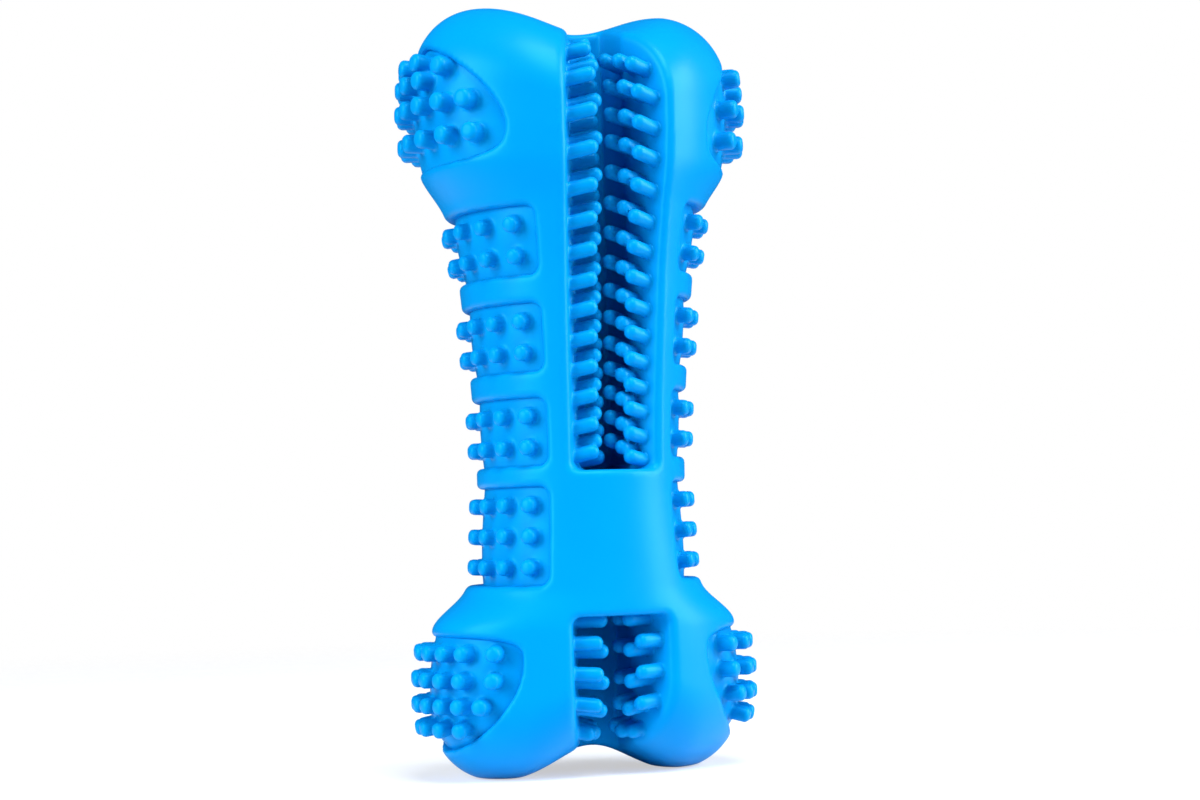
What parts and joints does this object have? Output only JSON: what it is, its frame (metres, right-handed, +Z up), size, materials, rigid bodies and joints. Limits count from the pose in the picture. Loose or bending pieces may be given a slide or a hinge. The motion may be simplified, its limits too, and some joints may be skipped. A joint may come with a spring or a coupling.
{
  "type": "rubber dog toothbrush toy",
  "caption": "Upright bone-shaped rubber chew toy with nubbed side pads and open channels lined with cleaning bristles.",
  "frame": {"origin": "on the surface it stands on, under the middle of the toy", "axes": "+Z up along the bone, -Y towards the front, +X towards the right side as seen from the front"},
  "size_m": [0.0704, 0.049, 0.1499],
  "materials": {
    "body_rubber": "satin moulded azure rubber",
    "pad_rubber": "satin moulded azure rubber with short round nubs",
    "bristle_rubber": "satin moulded azure rubber bristles"
  },
  "bodies": {
    "root": {"bone_body": "body_rubber", "pad_waist_1_left": "pad_rubber", "pad_waist_2_left": "pad_rubber", "pad_waist_3_left": "pad_rubber", "pad_waist_4_left": "pad_rubber", "pad_top_knob_left": "pad_rubber", "pad_bottom_knob_left": "pad_rubber", "pad_waist_1_right": "pad_rubber", "pad_waist_2_right": "pad_rubber", "pad_waist_3_right": "pad_rubber", "pad_waist_4_right": "pad_rubber", "pad_top_knob_right": "pad_rubber", "pad_bottom_knob_right": "pad_rubber", "bristles_front_upper_left": "bristle_rubber", "bristles_front_upper_right": "bristle_rubber", "bristles_front_lower_left": "bristle_rubber", "bristles_front_lower_right": "bristle_rubber", "bristles_back_upper_left": "bristle_rubber", "bristles_back_upper_right": "bristle_rubber", "bristles_back_lower_left": "bristle_rubber", "bristles_back_lower_right": "bristle_rubber"}
  },
  "joints": []
}
